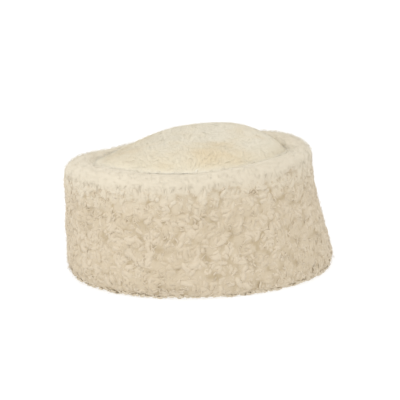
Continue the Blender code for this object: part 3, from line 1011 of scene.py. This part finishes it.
def domeSpots(count, seed):
    # Even places over the dome in plan: the steps of the plastic number fill a box, and those inside
    # the shoulder's outline are kept, measured from the peak
    plastic = 1.32471795724
    order = np.arange(int(count * comb["spare"]))
    box = np.stack([np.mod(0.5 + order / plastic, 1.0), np.mod(0.5 + order / plastic**2, 1.0)], axis=-1) - 0.5
    spots = box * comb["plan"] * np.array([hat["headWidth"], hat["headLength"]]) / 2
    shake = np.random.default_rng(seed).normal(0, comb["placeShake"], spots.shape)
    spots = spots + (centre - peak)[:2] + shake
    turn = shoulderTurn(spots[:, 0], spots[:, 1])
    edge = np.hypot(*(crownFoot(turn, 0.0) - peak)[:, :2].T)
    share = np.hypot(*spots.T) / edge
    kept = share < comb["reach"]
    return spots[kept], turn[kept], share[kept]


def crownPile():  # strands combed over the dome by a slow drift, in three layers
    layers = [("crown_pile", pile, pileWool), ("crown_wisps", wisp, pileWool), ("crown_fuzz", down, pileFuzz)]
    for name, piece, finish in layers:
        spots, turn, share = domeSpots(piece["count"], piece["seed"])
        strands = looseStrands(spots[:, 0], spots[:, 1], piece["seed"] + 2, piece)
        u, v = (spots / comb["driftSize"] + 0.5).T
        drift = softNoise(u, v, *comb["driftCells"], comb["driftSeed"]) * fullTurn
        shake = np.random.default_rng(piece["seed"]).normal(0, comb["headingShake"], len(turn))
        strands["heading"] = drift + shake
        strands["pale"] = grooveLight(turn, share, *comb["grooveLightPlace"])
        woolPiece(name, domeChart, strands, finish)


def crownSkirt():  # strands of the pile from just under the shoulder over the groove
    random = np.random.default_rng(skirt["seed"])
    many = skirt["count"]
    turn = random.random(many) * fullTurn
    along = random.uniform(*skirt["place"], many)
    strands = looseStrands(-turn, along, skirt["seed"] + 4, pile)
    strands["heading"] = math.pi / 2 + random.normal(0, comb["headingShake"], many)
    strands["stand"] = random.uniform(*skirt["stand"], many)
    strands["width"] = random.uniform(*skirt["width"], many)
    strands["pale"] = grooveLight(turn, along)
    woolPiece("crown_skirt", lambda p, q: crownChart(-p, q), strands, pileWool)


crownFelt()
crownHide()
crownPile()
crownSkirt()
print("crown is ready")

# Floor, light and camera

studio = {
    "world": 1.0, "floorSize": 6.0, "floorTone": 0.35, "floorGlow": 0.72, "keyPower": 8.0, "keySize": 1.4,
    "keyTurn": 34.0, "keyLift": 55.0, "keyAway": 1.8, "keyAim": (0, 0, 0.05),
}
photo = {
    "turn": 63.0, "lift": 14.8, "away": 2.0, "pixel": 0.00088, "frame": 400,
    "aimHeight": 0.06, "aimColumn": 201,
}  # pixel is the hat's metres for each pixel, and the aim point shows at aimColumn in the middle row


def seenFrom(turn, lift):  # a unit vector towards the viewer
    turn, lift = math.radians(turn), math.radians(lift)
    return np.array([math.sin(turn) * math.cos(lift), -math.cos(turn) * math.cos(lift), math.sin(lift)])


def turnTo(thing, place, aim):
    thing.location = place
    thing.rotation_euler = Vector(np.array(aim) - place).to_track_quat("-Z", "Y").to_euler()


def makeFloor():
    size = studio["floorSize"] / 2
    mesh = bpy.data.meshes.new("floor")
    corners = [(-size, -size, 0), (size, -size, 0), (size, size, 0), (-size, size, 0)]
    mesh.from_pydata(corners, [], [(0, 1, 2, 3)])
    floor = bpy.data.objects.new("floor", mesh)
    bpy.context.scene.collection.objects.link(floor)
    finish = Finish("pale_floor", roughness=0.9, specular=0.1, sheen=0.0)
    finish.paint((*[studio["floorTone"]] * 3, 1.0))
    glow = {"Emission Color": (1.0, 1.0, 1.0, 1.0), "Emission Strength": studio["floorGlow"]}
    finish.fill(finish.shader, glow)
    mesh.materials.append(finish.material)


def makeLight():
    world = bpy.data.worlds.new("studio")
    bpy.context.scene.world = world
    world.use_nodes = True
    world.node_tree.nodes["Background"].inputs["Color"].default_value = (1.0, 1.0, 1.0, 1.0)
    world.node_tree.nodes["Background"].inputs["Strength"].default_value = studio["world"]
    key = bpy.data.objects.new("key", bpy.data.lights.new("key", "AREA"))
    key.data.energy, key.data.size = studio["keyPower"], studio["keySize"]
    turnTo(key, seenFrom(studio["keyTurn"], studio["keyLift"]) * studio["keyAway"], studio["keyAim"])
    bpy.context.scene.collection.objects.link(key)


def makeCamera():
    camera = bpy.data.objects.new("camera", bpy.data.cameras.new("camera"))
    camera.data.sensor_width = 36.0
    camera.data.lens = camera.data.sensor_width * photo["away"] / (photo["pixel"] * photo["frame"])
    towards = seenFrom(photo["turn"], photo["lift"])
    right = seenFrom(photo["turn"] + 90, 0.0)
    aside = (photo["aimColumn"] - photo["frame"] / 2) * photo["pixel"]
    aim = np.array([0.0, 0.0, photo["aimHeight"]]) - right * aside
    turnTo(camera, aim + towards * photo["away"], aim)
    bpy.context.scene.collection.objects.link(camera)
    bpy.context.scene.camera = camera


makeFloor()
makeLight()
makeCamera()
bpy.context.scene.view_settings.view_transform = "Standard"

print("hat is ready")
